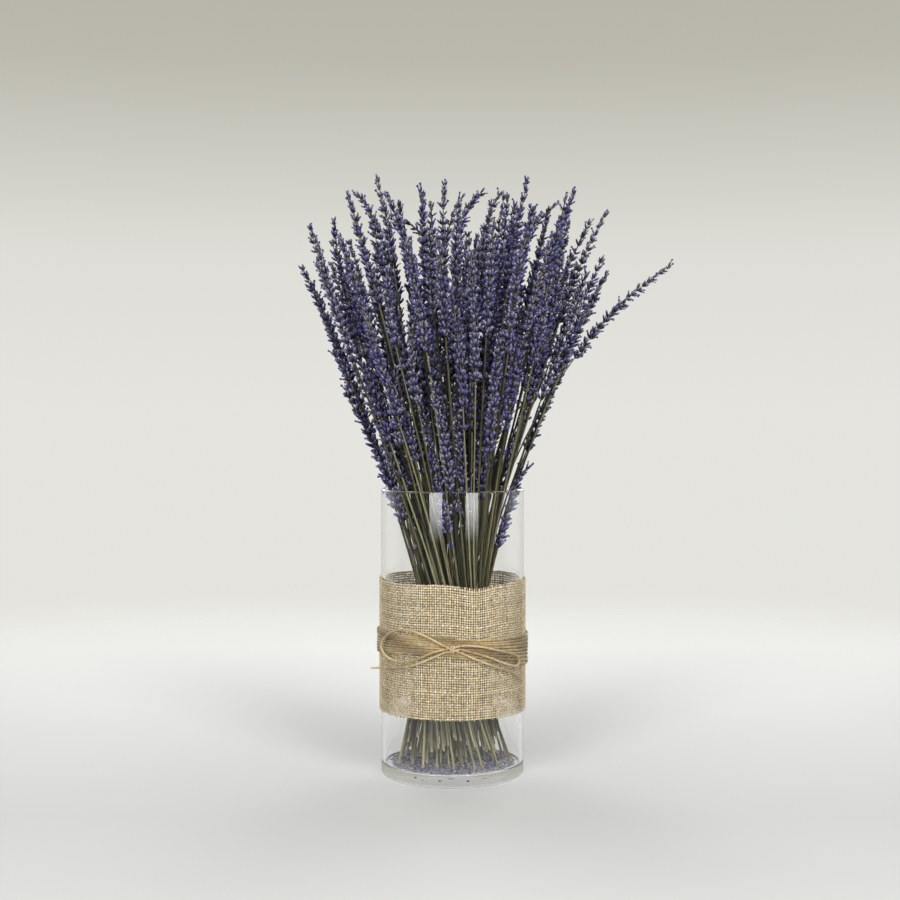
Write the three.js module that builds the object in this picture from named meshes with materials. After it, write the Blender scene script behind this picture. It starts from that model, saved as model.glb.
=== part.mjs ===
// Dried lavender in a clear glass cylinder vase, with a burlap band, a twine winding and a bow.
// Units are millimetres and +Z is up. The origin is the centre of the vase's underside, and the bow faces -Y.
import * as THREE from "three";

// Clearance between pieces that touch.
const GAP = 0.3;

// Vase: a plain pressed cylinder with a thick floor.
const VASE_HEIGHT = 254;
const VASE_RADIUS = 63.5;
const VASE_WALL = 3.5;
const VASE_FLOOR = 10;
const VASE_FOOT_ROUND = 3;
const VASE_WELL_ROUND = 2.5;
const ROUND_SIDES = 48;

// Burlap ribbon round the vase. Its top edge dips to the right of the bow.
const BURLAP_THICKNESS = 1.6;
const BURLAP_BOTTOM = 59;
const BURLAP_WIDTH = 116;
const BURLAP_WAVE = 0.8;
const BURLAP_DIP = { depth: 4, at: 18, reach: 16 };

// Jute twine, wound round the burlap and tied in a bow.
const TWINE_DIAMETER = 1.9;
const TWINE_TURNS = 9;
const CORD_SIDES = 8;
const KNOT_HEIGHT = 121;
const KNOT_HALF = { across: 5.2, deep: 2.6, tall: 4.4 };

// Fallen florets: a thin layer on the vase's floor.
const FLORET_BED = 3;
const FLORET_BED_MARGIN = 2.2;

// Bunch: stems that spiral past each other through a tie, and spread above and below it.
const SPRIGS = 50;
const TIE_HEIGHT = 126;
const TIE_WIDTH = 6;
const TIE_THICKNESS = 1.2;
const WAIST_RADIUS = 29;
const SPREAD = 0.39;
const TWIST = 0.65;
const FIRST_ANGLE = THREE.MathUtils.degToRad(-88);
const GOLDEN_ANGLE = Math.PI * (3 - Math.sqrt(5));

// Sprig: a stem and, at its top, a flower spike made of whorls.
const STEM_RADIUS = 1.1;
const SPRIG_SIDES = 6;
const SPIKE_RADIUS = 6.6;
const SPIKE_LENGTHS = [62, 112];
const SPIKE_ROOM = 2.6;
const WHORL_PITCH = 20;
const WHORL_WAIST = 0.5;
const WHORL_TAPER = 0.4;
const TALLEST_TIP = 540;
const DOME_DROP = 74;
const TIP_SCATTER = 160;
const LEAN = 13;
const LEAN_START = 250;
const STEM_RINGS = [66, TIE_HEIGHT, 190, 262, 345];

// The one sprig that hangs out to the right of the bunch, numbered from 1.
const STRAY = { number: 43, tip: 462, lean: 75, spike: 92 };

const VASE_INSIDE = VASE_RADIUS - VASE_WALL;
const BURLAP_INSIDE = VASE_RADIUS + GAP;
const BURLAP_OUTSIDE = BURLAP_INSIDE + BURLAP_THICKNESS;
const WINDING_INSIDE = BURLAP_OUTSIDE + GAP;
const WINDING_OUTSIDE = WINDING_INSIDE + TWINE_DIAMETER;
const BED_TOP = VASE_FLOOR + GAP + FLORET_BED;

const COLOURS = {
  glass: { color: 0xdfe8e6, roughness: 0.05, metalness: 0, transparent: true, opacity: 0.35 },
  burlap: { color: 0xb89b6c, roughness: 0.95, metalness: 0 },
  twine: { color: 0xc2a676, roughness: 0.9, metalness: 0 },
  rubber: { color: 0x9c7a4a, roughness: 0.8, metalness: 0 },
  florets: { color: 0x6d6a86, roughness: 0.95, metalness: 0 },
  lavender: { color: 0x57508a, roughness: 0.9, metalness: 0 },
};

// A named mesh in one of the colours above.
function piece(name, geometry, colour) {
  const mesh = new THREE.Mesh(geometry, new THREE.MeshStandardMaterial(COLOURS[colour]));
  mesh.name = name;
  return mesh;
}

// A profile of [radius, height] points, turned about +Z.
function turned(profile, sides) {
  const points = profile.map(([radius, height]) => new THREE.Vector2(radius, height));
  return new THREE.LatheGeometry(points, sides).rotateX(Math.PI / 2);
}

// Moves every vertex of a geometry.
function reshape(geometry, move) {
  const position = geometry.getAttribute("position");
  const point = new THREE.Vector3();
  for (let i = 0; i < position.count; i++) {
    move(point.fromBufferAttribute(position, i));
    position.setXYZ(i, point.x, point.y, point.z);
  }
  geometry.computeVertexNormals();
  return geometry;
}

// Points of an arc of a profile, with angles in degrees from the outward direction.
function arc([radius, height], round, from, to, steps) {
  return Array.from({ length: steps + 1 }, (_, i) => {
    const angle = THREE.MathUtils.degToRad(from + ((to - from) * i) / steps);
    return [radius + round * Math.cos(angle), height + round * Math.sin(angle)];
  });
}

// Angle round the vase from the front, in radians: positive to the right, seen from the front.
const angleFromFront = (point) => Math.atan2(point.x, -point.y);

// A number between 0 and 1 that looks random and is the same in every run.
function scatter(number, salt) {
  const wave = Math.sin(number * 12.9898 + salt * 78.233) * 43758.5453;
  return wave - Math.floor(wave);
}

function glassVase() {
  const foot = arc([VASE_RADIUS - VASE_FOOT_ROUND, VASE_FOOT_ROUND], VASE_FOOT_ROUND, -90, 0, 3);
  const rim = arc([VASE_RADIUS - VASE_WALL / 2, VASE_HEIGHT - VASE_WALL / 2], VASE_WALL / 2, 0, 180, 4);
  const wellCentre = [VASE_INSIDE - VASE_WELL_ROUND, VASE_FLOOR + VASE_WELL_ROUND];
  const well = arc(wellCentre, VASE_WELL_ROUND, 0, -90, 2);
  const profile = [[0, 0], ...foot, ...rim, ...well, [0, VASE_FLOOR]];
  return piece("glass_vase", turned(profile, ROUND_SIDES), "glass");
}

// Height of the burlap's top edge above its straight cut, at an angle from the front.
function burlapEdge(angle) {
  const fromDip = (THREE.MathUtils.radToDeg(angle) - BURLAP_DIP.at) / BURLAP_DIP.reach;
  return BURLAP_WAVE * Math.sin(3 * angle + 1) - BURLAP_DIP.depth * Math.exp(-fromDip * fromDip);
}

function burlapWrap() {
  const profile = [
    [BURLAP_INSIDE, 0],
    [BURLAP_OUTSIDE, 0],
    [BURLAP_OUTSIDE, BURLAP_WIDTH],
    [BURLAP_INSIDE, BURLAP_WIDTH],
    [BURLAP_INSIDE, 0],
  ];
  const band = reshape(turned(profile, ROUND_SIDES), (point) => {
    if (point.z > BURLAP_WIDTH / 2) point.z += burlapEdge(angleFromFront(point));
  });
  const mesh = piece("burlap_wrap", band, "burlap");
  mesh.position.z = BURLAP_BOTTOM;
  return mesh;
}

// Middle and half height of the winding at an angle from the front: gathered under the bow, loose elsewhere.
const windingMiddle = (angle) =>
  KNOT_HEIGHT - 4 + 3.6 * Math.cos(angle) + Math.cos(2 * angle) - 2.8 * Math.sin(angle);
const windingHalf = (angle) =>
  13.2 - 2.2 * Math.cos(angle) - 1.5 * Math.cos(2 * angle) + 2.2 * Math.sin(angle);

// The winding as one ring with a ridge for each turn.
function twineWinding() {
  const ridges = Array.from({ length: 2 * TWINE_TURNS + 1 }, (_, i) => [
    i % 2 ? WINDING_OUTSIDE : WINDING_OUTSIDE - TWINE_DIAMETER / 2,
    i / TWINE_TURNS - 1,
  ]);
  const profile = [[WINDING_INSIDE, -1], ...ridges, [WINDING_INSIDE, 1], [WINDING_INSIDE, -1]];
  const ring = reshape(turned(profile, ROUND_SIDES), (point) => {
    const angle = angleFromFront(point);
    point.z = windingMiddle(angle) + windingHalf(angle) * point.z;
  });
  return piece("twine_winding", ring, "twine");
}

// The bow's strands lie round the vase: [angle from the front in degrees, height, distance off the winding].
const LEFT_LOOP = [
  [-5.6, 123.4, 0.8],
  [-9, 125.6, 1],
  [-14.5, 129, 1.2],
  [-23.5, 133.6, 1.7],
  [-31, 135.8, 2.2],
  [-40, 135.3, 2.9],
  [-49, 131.2, 3.6],
  [-56, 125.2, 4],
  [-59, 119.3, 4],
  [-57, 114.4, 3.8],
  [-52, 110.7, 3.4],
  [-45, 108.4, 2.8],
  [-37, 108, 2.3],
  [-29, 109.9, 1.8],
  [-21.5, 113.8, 1.4],
  [-14.5, 117.7, 1.1],
  [-9, 119.8, 0.9],
  [-5.6, 120.8, 0.8],
];
const LEFT_TAIL = [
  [-5.5, 118.1, 0.6],
  [-10.5, 115.4, 0.6],
  [-17, 112, 0.7],
  [-25.5, 107.4, 0.8],
  [-35, 104, 1.1],
  [-44.5, 102.4, 2],
  [-55, 100.8, 4],
  [-62, 99.5, 7.5],
  [-64.5, 99, 10],
];
const RIGHT_LOOP = [
  [5.6, 123.6, 0.8],
  [9.5, 124, 1],
  [14, 123.6, 1.1],
  [23.7, 121.6, 1.3],
  [30.5, 119.4, 1.5],
  [38, 116.4, 1.8],
  [45.5, 113.4, 2.2],
  [51.5, 110.6, 2.5],
  [54.6, 106.6, 2.6],
  [52, 103.2, 2.5],
  [46.5, 103.4, 2.2],
  [40, 106.2, 1.9],
  [32, 110.2, 1.6],
  [23.7, 114.2, 1.3],
  [15, 117.6, 1.1],
  [9, 119.8, 0.9],
  [5.6, 120.9, 0.8],
];
const RIGHT_TAIL = [
  [5.5, 118.2, 0.6],
  [9.5, 115.8, 0.6],
  [15, 112.6, 0.6],
  [23.5, 108.4, 0.6],
  [33.5, 103.6, 0.6],
  [41, 100.6, 0.7],
  [50, 96.2, 0.9],
  [58, 91.6, 1.4],
  [61.8, 88.8, 1.9],
];

// The centreline of a strand through points given round the vase.
function strandPath(points) {
  const places = points.map(([degrees, height, off]) => {
    const angle = THREE.MathUtils.degToRad(degrees);
    const radius = WINDING_OUTSIDE + off + TWINE_DIAMETER / 2;
    return new THREE.Vector3(radius * Math.sin(angle), -radius * Math.cos(angle), height);
  });
  return new THREE.CatmullRomCurve3(places);
}

function strand(name, points) {
  const path = strandPath(points);
  const section = new THREE.Shape();
  for (let i = 0; i < CORD_SIDES; i++) {
    const angle = (2 * Math.PI * i) / CORD_SIDES;
    const corner = [Math.cos(angle), Math.sin(angle)].map((share) => (share * TWINE_DIAMETER) / 2);
    if (i) section.lineTo(...corner);
    else section.moveTo(...corner);
  }
  const steps = Math.round(path.getLength() / (3 * TWINE_DIAMETER));
  return piece(name, new THREE.ExtrudeGeometry(section, { steps, extrudePath: path }), "twine");
}

function bowKnot() {
  const knot = new THREE.SphereGeometry(1, 10, 6).scale(KNOT_HALF.across, KNOT_HALF.deep, KNOT_HALF.tall);
  const mesh = piece("bow_knot", knot, "twine");
  mesh.position.set(0, -(WINDING_OUTSIDE + GAP + KNOT_HALF.deep), KNOT_HEIGHT);
  return mesh;
}

// How far the bunch has spread at a height, against its waist, and how far it has turned about +Z.
const slopeAt = (z) => (SPREAD * (z - TIE_HEIGHT)) / WAIST_RADIUS;
const spreadAt = (z) => Math.hypot(1, slopeAt(z));
const turnAt = (z) => -TWIST * Math.atan(slopeAt(z));

// The bunch's outer radius at a height, to the outside of the stems.
const bunchRadius = (z) => WAIST_RADIUS * spreadAt(z) + STEM_RADIUS;

// The size and place of one sprig. Its place in the waist follows a sunflower's spiral.
function sprigPlan(number) {
  const share = Math.sqrt((number - 0.5) / SPRIGS);
  const stray = number === STRAY.number;
  const fall = scatter(number, 1);
  const tip = TALLEST_TIP - DOME_DROP * share ** 3 - TIP_SCATTER * fall ** 3;
  const [shortest, longest] = SPIKE_LENGTHS;
  return {
    radius: WAIST_RADIUS * share,
    angle: FIRST_ANGLE + number * GOLDEN_ANGLE,
    tip: stray ? STRAY.tip : tip,
    spike: stray ? STRAY.spike : shortest + (longest - shortest) * scatter(number, 2),
    lean: stray ? STRAY.lean : LEAN * share ** 2 * scatter(number, 3),
  };
}

// The centre of a sprig at a height. Above LEAN_START it bends outwards.
function sprigCentre(plan, z) {
  const angle = plan.angle + turnAt(z);
  const rise = Math.max(0, z - LEAN_START) / (plan.tip - LEAN_START);
  const radius = plan.radius * spreadAt(z) + plan.lean * rise * rise;
  return new THREE.Vector3(radius * Math.cos(angle), radius * Math.sin(angle), z);
}

function sprigDirection(plan, z) {
  return sprigCentre(plan, z + 0.5).sub(sprigCentre(plan, z - 0.5)).normalize();
}

// The profile of a sprig: a cut stem, then a spike whose whorls grow smaller towards the tip.
// Where the bunch is still narrow, a spike is slimmer, to leave room for its neighbours.
function sprigProfile(plan, foot) {
  const spikeStart = plan.tip - plan.spike;
  const rings = STEM_RINGS.filter((z) => z > foot + 20 && z < spikeStart - 20);
  const stem = [foot, ...rings, spikeStart].map((z) => [STEM_RADIUS, z]);
  const whorls = Math.round(plan.spike / WHORL_PITCH);
  const pitch = plan.spike / (whorls + 0.6);
  const fullest = Math.min(SPIKE_RADIUS, SPIKE_ROOM * spreadAt(spikeStart));
  const spike = Array.from({ length: whorls }, (_, i) => {
    const widest = fullest * (1 - (WHORL_TAPER * i) / whorls);
    const base = spikeStart + i * pitch;
    return [
      [widest, base + pitch / 2],
      [widest * WHORL_WAIST, base + pitch],
    ];
  }).flat();
  return [[0, foot], ...stem, ...spike, [0, plan.tip]];
}

function sprig(number) {
  const plan = sprigPlan(number);
  const tilt = Math.acos(sprigDirection(plan, BED_TOP).z);
  const foot = BED_TOP + GAP + STEM_RADIUS * Math.sin(tilt);
  const up = new THREE.Vector3(0, 0, 1);
  const turn = new THREE.Quaternion();
  const bent = reshape(turned(sprigProfile(plan, foot), SPRIG_SIDES), (point) => {
    const z = point.z;
    turn.setFromUnitVectors(up, sprigDirection(plan, z));
    point.setZ(0).applyQuaternion(turn).add(sprigCentre(plan, z));
  });
  return piece("sprig_" + String(number).padStart(2, "0"), bent, "lavender");
}

// The band that holds the bunch, stretched round its outer stems.
function bunchTie() {
  const inside = bunchRadius(TIE_HEIGHT) + GAP;
  const outside = inside + TIE_THICKNESS;
  const bottom = -TIE_WIDTH / 2;
  const top = TIE_WIDTH / 2;
  const profile = [[inside, bottom], [outside, bottom], [outside, top], [inside, top], [inside, bottom]];
  const mesh = piece("bunch_tie", turned(profile, ROUND_SIDES / 2), "rubber");
  mesh.position.z = TIE_HEIGHT;
  return mesh;
}

// The layer of fallen florets, which the stems stand on.
function fallenFlorets() {
  const edge = VASE_INSIDE - FLORET_BED_MARGIN;
  const profile = [[0, 0], [edge - 1, 0], [edge, FLORET_BED / 2], [edge - 1, FLORET_BED], [0, FLORET_BED]];
  const mesh = piece("fallen_florets", turned(profile, ROUND_SIDES), "florets");
  mesh.position.z = VASE_FLOOR + GAP;
  return mesh;
}

const wrap = new THREE.Group();
wrap.add(
  burlapWrap(),
  twineWinding(),
  bowKnot(),
  strand("bow_loop_left", LEFT_LOOP),
  strand("bow_loop_right", RIGHT_LOOP),
  strand("bow_tail_left", LEFT_TAIL),
  strand("bow_tail_right", RIGHT_TAIL),
);

const bunch = new THREE.Group();
for (let number = 1; number <= SPRIGS; number++) bunch.add(sprig(number));
bunch.add(bunchTie());

const arrangement = new THREE.Group();
arrangement.add(glassVase(), fallenFlorets(), wrap, bunch);

export default arrangement;
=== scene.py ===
# Dried lavender in a clear glass cylinder vase, with a burlap band, wound twine and a bow.
# Units are metres, +Z is up and the bow faces -Y. Every piece rides on the one body, "root".
import math

import bpy
import numpy as np
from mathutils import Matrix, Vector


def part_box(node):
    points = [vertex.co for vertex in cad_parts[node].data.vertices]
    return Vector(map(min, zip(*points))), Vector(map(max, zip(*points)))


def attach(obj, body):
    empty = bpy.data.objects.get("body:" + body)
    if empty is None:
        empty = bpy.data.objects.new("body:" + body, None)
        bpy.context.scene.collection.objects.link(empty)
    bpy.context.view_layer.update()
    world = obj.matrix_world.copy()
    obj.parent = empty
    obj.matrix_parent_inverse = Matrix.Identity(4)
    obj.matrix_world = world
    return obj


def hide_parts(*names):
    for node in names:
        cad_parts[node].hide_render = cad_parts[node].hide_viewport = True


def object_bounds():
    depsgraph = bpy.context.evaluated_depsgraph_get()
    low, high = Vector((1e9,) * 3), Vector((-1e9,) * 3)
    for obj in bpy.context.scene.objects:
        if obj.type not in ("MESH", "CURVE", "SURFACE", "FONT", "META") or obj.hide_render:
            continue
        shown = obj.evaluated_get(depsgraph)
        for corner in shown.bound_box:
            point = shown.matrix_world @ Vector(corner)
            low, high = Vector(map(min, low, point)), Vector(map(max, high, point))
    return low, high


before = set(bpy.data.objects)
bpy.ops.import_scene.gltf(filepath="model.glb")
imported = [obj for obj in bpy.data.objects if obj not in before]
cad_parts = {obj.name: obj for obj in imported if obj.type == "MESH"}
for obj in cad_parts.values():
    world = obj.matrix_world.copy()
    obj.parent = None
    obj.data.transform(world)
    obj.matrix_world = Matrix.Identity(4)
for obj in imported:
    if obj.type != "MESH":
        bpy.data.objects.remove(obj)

cad_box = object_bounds()
TAU = 2 * math.pi
MM = 0.001

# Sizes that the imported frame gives.
VASE_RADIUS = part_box("glass_vase")[1][0]
VASE_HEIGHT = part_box("glass_vase")[1][2]
BURLAP_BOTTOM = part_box("burlap_wrap")[0][2]
BURLAP_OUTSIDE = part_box("burlap_wrap")[1][0]
WINDING_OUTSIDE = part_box("twine_winding")[1][0]
KNOT_LOW, KNOT_HIGH = (np.array(corner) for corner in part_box("bow_knot"))
KNOT = (KNOT_LOW + KNOT_HIGH) / 2
TIE_LOW, TIE_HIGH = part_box("bunch_tie")
TIE_HEIGHT = (TIE_LOW[2] + TIE_HIGH[2]) / 2
BED_LOW, BED_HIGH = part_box("fallen_florets")

# Sizes that the frame does not give, as the CAD model has them.
VASE_WALL = 3.5 * MM
VASE_FLOOR = 10 * MM
VASE_FOOT_ROUND = 3 * MM
VASE_WELL_ROUND = 2.5 * MM
BURLAP_WIDTH = 116 * MM
TWINE = 1.9 * MM
TWINE_TURNS = 9
WAIST_RADIUS = 29 * MM
SPREAD = 0.39
TWIST = 0.65
SPRIGS = 50
FIRST_ANGLE = math.radians(-88)
GOLDEN_ANGLE = math.pi * (3 - math.sqrt(5))
SPIKE_LENGTHS = (62 * MM, 112 * MM)
LEAN = 13 * MM
LEAN_START = 250 * MM
STRAY = {"number": 43, "lean": 75 * MM, "spike": 92 * MM}


def add_object(name, data):
    made = bpy.data.objects.new(name, data)
    bpy.context.scene.collection.objects.link(made)
    return made


# ------------ camera, at the photograph's viewpoint

CAMERA_DISTANCE = 1.337
CAMERA_HEIGHT = 0.326
CAMERA_SIDE = -0.0022
CAMERA_TILT = math.radians(1.64)
FOCAL_SHARE = 1505 / 900    # focal length over the frame's width


def add_camera():
    data = bpy.data.cameras.new("camera")
    data.sensor_width = 36
    data.lens = 36 * FOCAL_SHARE
    data.clip_end = 50
    camera = add_object("camera", data)
    camera.location = (CAMERA_SIDE, -CAMERA_DISTANCE, CAMERA_HEIGHT)
    camera.rotation_euler = (math.pi / 2 - CAMERA_TILT, 0, 0)
    bpy.context.scene.camera = camera


# ------------ mesh building

class Surface:
    """Vertices, faces, material slots and tints of one piece, gathered part by part."""

    def __init__(self):
        self.vertices, self.tints = [], []
        self.quads, self.triangles = [], []
        self.quad_slots, self.triangle_slots = [], []
        self.count = 0

    def add(self, vertices, quads=None, triangles=None, slot=0, tint=(0.5, 0.5, 0.5)):
        vertices = np.asarray(vertices, float).reshape(-1, 3)
        tint = np.broadcast_to(np.asarray(tint, float), (len(vertices), 3))
        self.vertices.append(vertices)
        self.tints.append(tint)
        for faces, kept, slots in ((quads, self.quads, self.quad_slots),
                                   (triangles, self.triangles, self.triangle_slots)):
            if faces is not None and len(faces):
                kept.append(np.asarray(faces) + self.count)
                slots.append(np.full(len(faces), slot))
        self.count += len(vertices)

    def piece(self, name, materials):
        vertices = np.concatenate(self.vertices)
        tints = np.concatenate(self.tints)
        quads = np.concatenate(self.quads) if self.quads else np.zeros((0, 4), int)
        triangles = np.concatenate(self.triangles) if self.triangles else np.zeros((0, 3), int)
        corners = np.concatenate([quads.ravel(), triangles.ravel()]).astype(np.int32)
        starts = np.concatenate([np.arange(len(quads)) * 4,
                                 len(quads) * 4 + np.arange(len(triangles)) * 3]).astype(np.int32)
        slots = np.concatenate(self.quad_slots + self.triangle_slots).astype(np.int32)
        mesh = bpy.data.meshes.new(name)
        mesh.vertices.add(len(vertices))
        mesh.vertices.foreach_set("co", vertices.ravel().astype(np.float32))
        mesh.loops.add(len(corners))
        mesh.loops.foreach_set("vertex_index", corners)
        mesh.polygons.add(len(starts))
        mesh.polygons.foreach_set("loop_start", starts)
        mesh.polygons.foreach_set("material_index", slots)
        mesh.polygons.foreach_set("use_smooth", np.ones(len(starts), bool))
        for material in materials:
            mesh.materials.append(material)
        tint = mesh.attributes.new("tint", "FLOAT_COLOR", "POINT")
        colours = np.concatenate([tints, np.ones((len(tints), 1))], axis=1)
        tint.data.foreach_set("color", colours.ravel().astype(np.float32))
        mesh.update(calc_edges=True)
        mesh.validate()
        return add_object(name, mesh)


def stand_for(piece, node):
    """Hangs a piece on the one body, in place of a CAD node."""
    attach(piece, "root")
    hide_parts(node)


def unit(vectors):
    vectors = np.asarray(vectors, float)
    return vectors / np.linalg.norm(vectors, axis=-1, keepdims=True)


def frames(points):
    """Tangent, normal and side vectors along a line, turning as little as they can."""
    ahead = unit(np.gradient(points, axis=0))
    normals = np.empty_like(points)
    normals[0] = unit(np.cross(ahead[0], (0.3, 0.9, 0.1)))
    for i in range(1, len(points)):
        carried = normals[i - 1] - ahead[i] * np.dot(normals[i - 1], ahead[i])
        normals[i] = carried / np.linalg.norm(carried)
    return ahead, normals, np.cross(ahead, normals)


def ring_quads(rings, sides, closed=False):
    """Quads from each ring of vertices to the next, and from the last to the first if it is closed."""
    ring, side = np.meshgrid(np.arange(rings if closed else rings - 1), np.arange(sides), indexing="ij")
    ahead, after = (ring + 1) % rings, (side + 1) % sides
    return np.stack([ring * sides + side, ring * sides + after,
                     ahead * sides + after, ahead * sides + side], axis=-1).reshape(-1, 4)


def tube_faces(rings, sides):
    """Quads between rings of vertices, and the triangles that close both ends round a middle vertex."""
    k = np.arange(sides)
    first, last, top = rings * sides, rings * sides + 1, (rings - 1) * sides
    low = np.stack([np.full(sides, first), (k + 1) % sides, k], axis=-1)
    high = np.stack([np.full(sides, last), top + k, top + (k + 1) % sides], axis=-1)
    return ring_quads(rings, sides), np.concatenate([low, high])


def tube(points, radii, sides, lobes=None):
    """A closed tube along points. lobes(ring, angle) scales its radius where it is not round."""
    points = np.asarray(points, float)
    radii = np.broadcast_to(np.asarray(radii, float), (len(points),))
    ahead, normals, across = frames(points)
    angles = TAU * np.arange(sides) / sides
    reach = np.repeat(radii[:, None], sides, axis=1)
    if lobes is not None:
        reach = reach * lobes(np.arange(len(points))[:, None], angles[None, :])
    cos, sin = np.cos(angles)[None, :, None], np.sin(angles)[None, :, None]
    rings = points[:, None] + reach[..., None] * (cos * normals[:, None] + sin * across[:, None])
    vertices = np.concatenate([rings.reshape(-1, 3), points[:1], points[-1:]])
    return vertices, *tube_faces(len(points), sides)


def lathe(profile, sides):
    """A profile of (radius, height), turned about Z. It starts and ends on the axis."""
    profile = np.asarray(profile, float)
    angles = TAU * np.arange(sides) / sides
    inner = profile[1:-1]
    rings = np.stack([inner[:, :1] * np.cos(angles), inner[:, :1] * np.sin(angles),
                      np.repeat(inner[:, 1:], sides, axis=1)], axis=-1)
    ends = np.array([[0, 0, profile[0, 1]], [0, 0, profile[-1, 1]]])
    return np.concatenate([rings.reshape(-1, 3), ends]), *tube_faces(len(inner), sides)


def smooth_path(points, steps):
    """A Catmull-Rom curve through points."""
    points = np.asarray(points, float)
    padded = np.concatenate([[2 * points[0] - points[1]], points, [2 * points[-1] - points[-2]]])
    t = np.linspace(0, 1, steps, endpoint=False)[:, None]
    stretches = []
    for a, b, c, d in zip(padded, padded[1:], padded[2:], padded[3:]):
        stretches.append(0.5 * (2 * b + (c - a) * t + (2 * a - 5 * b + 4 * c - d) * t ** 2
                                + (3 * b - a - 3 * c + d) * t ** 3))
    return np.concatenate(stretches + [points[-1:]])


def path_length(points):
    return float(np.linalg.norm(np.diff(points, axis=0), axis=1).sum())


def distances(points):
    """How far along a line each of its points lies."""
    return np.concatenate([[0], np.cumsum(np.linalg.norm(np.diff(points, axis=0), axis=1))])


def evenly(points, gap):
    """The same line, with its points a fixed distance apart."""
    along = distances(points)
    places = np.linspace(0, along[-1], max(2, round(along[-1] / gap) + 1))
    return np.stack([np.interp(places, along, points[:, i]) for i in range(3)], axis=1)


def eased(points):
    """The same line with its bends rounded a little. Its ends stay."""
    for _ in range(3):
        between = (points[:-2] + 2 * points[1:-1] + points[2:]) / 4
        points = np.concatenate([points[:1], between, points[-1:]])
    return points


# ------------ materials

class Nodes:
    """Short names for building a node tree. A value is a plain one, or another node's output."""

    def __init__(self, tree):
        self.tree = tree

    def node(self, kind, inputs, **settings):
        made = self.tree.nodes.new("ShaderNode" + kind)
        for key, value in settings.items():
            setattr(made, key, value)
        for key, value in inputs.items():
            if isinstance(value, bpy.types.NodeSocket):
                self.link(value, made.inputs[key])
            else:
                made.inputs[key].default_value = value
        return made

    def link(self, source, target):
        self.tree.links.new(source, target)

    def axis(self, vector, name):
        return self.node("SeparateXYZ", {"Vector": vector}).outputs[name]

    def ramp(self, factor, *stops):
        made = self.node("ValToRGB", {"Fac": factor})
        elements = made.color_ramp.elements
        while len(elements) < len(stops):
            elements.new(0.5)
        for element, (place, colour) in zip(elements, stops):
            element.position = place
            element.color = (*colour, 1)
        return made.outputs["Color"]

    def mix(self, factor, a, b, how="MIX"):
        a, b = ((*colour, 1) if isinstance(colour, tuple) else colour for colour in (a, b))
        return self.node("Mix", {0: factor, 6: a, 7: b}, data_type="RGBA", blend_type=how).outputs[2]

    def math(self, how, a, b, **settings):
        return self.node("Math", {0: a, 1: b}, operation=how, **settings).outputs[0]

    def spread(self, value, low, high, to_low=0.0, to_high=1.0, **settings):
        """Maps low..high to to_low..to_high."""
        ends = {"From Min": low, "From Max": high, "To Min": to_low, "To Max": to_high}
        return self.node("MapRange", {"Value": value, **ends}, **settings).outputs["Result"]


class Material(Nodes):
    """One material's node tree, round its Principled shader."""

    def __init__(self, name):
        self.material = bpy.data.materials.new(name)
        self.material.use_nodes = True
        super().__init__(self.material.node_tree)
        self.shader = self.tree.nodes["Principled BSDF"]

    def set(self, **values):
        for key, value in values.items():
            self.shader.inputs[key.replace("_", " ")].default_value = value

    def noise(self, scale, detail, stretch=None, roughness=0.6):
        place = self.node("TexCoord", {}).outputs["Object"]
        if stretch:
            place = self.node("Mapping", {"Vector": place, "Scale": stretch}).outputs["Vector"]
        grain = {"Vector": place, "Scale": scale, "Detail": detail, "Roughness": roughness}
        return self.node("TexNoise", grain).outputs["Fac"]

    def tint(self):
        """The piece's own painted values: a random number, a place along the part, and a third number."""
        colour = self.node("Attribute", {}, attribute_name="tint").outputs["Color"]
        split = self.node("SeparateColor", {"Color": colour}).outputs
        return split["Red"], split["Green"], split["Blue"]

    def bump(self, height, distance, strength):
        made = self.node("Bump", {"Height": height, "Distance": distance, "Strength": strength})
        self.link(made.outputs["Normal"], self.shader.inputs["Normal"])

    def colour(self, socket):
        self.link(socket, self.shader.inputs["Base Color"])

    def rough(self, socket, low, high):
        self.link(self.spread(socket, 0, 1, low, high), self.shader.inputs["Roughness"])


def glass_material():
    """Clear glass that lets the lamps straight through to what stands in it."""
    m = Material("clear_glass")
    m.set(Base_Color=(1.0, 1.0, 1.0, 1), Roughness=0.0, IOR=1.45, Transmission_Weight=1.0,
          Specular_Tint=(1.0, 1.0, 1.0, 1))
    shadow = m.node("LightPath", {}).outputs["Is Shadow Ray"]
    clear = m.node("BsdfTransparent", {}).outputs["BSDF"]
    passing = m.node("MixShader", {0: shadow, 1: m.shader.outputs["BSDF"], 2: clear})
    m.link(passing.outputs["Shader"], m.tree.nodes["Material Output"].inputs["Surface"])
    return m.material


def calyx_material():
    """Dry calyces: dark at the foot, blue violet above, many of them faded to grey lilac. The near-black
    foot is partly their own colour and partly painted shade where they crowd the stem; the pale tip is
    partly painted highlight.
    """
    m = Material("calyx")
    chance, along, sprig = m.tint()
    # Darker towards the foot: partly the calyx's own colour, partly painted shade where the calyces crowd
    # the stem. The pale tips are partly painted highlight.
    fresh = m.ramp(along, (0.0, (0.004, 0.003, 0.004)), (0.3, (0.009, 0.008, 0.018)),
                   (0.7, (0.03, 0.026, 0.095)), (1.0, (0.11, 0.1, 0.26)))
    faded = m.ramp(along, (0.0, (0.007, 0.006, 0.006)), (0.35, (0.028, 0.027, 0.04)),
                   (0.75, (0.11, 0.105, 0.16)), (1.0, (0.34, 0.33, 0.42)))
    share = m.ramp(m.math("ADD", m.math("MULTIPLY", chance, 0.6), m.math("MULTIPLY", sprig, 0.4)),
                   (0.2, (0, 0, 0)), (0.75, (1, 1, 1)))
    grain = m.noise(2500, 2)
    speckle = m.ramp(grain, (0.3, (0.5, 0.5, 0.52)), (0.7, (1.35, 1.35, 1.3)))
    m.colour(m.mix(0.6, m.mix(share, fresh, faded), speckle, "MULTIPLY"))
    m.rough(grain, 0.7, 0.95)
    m.set(Specular_IOR_Level=0.2)
    m.bump(grain, 0.00012, 0.6)
    return m.material


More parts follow.
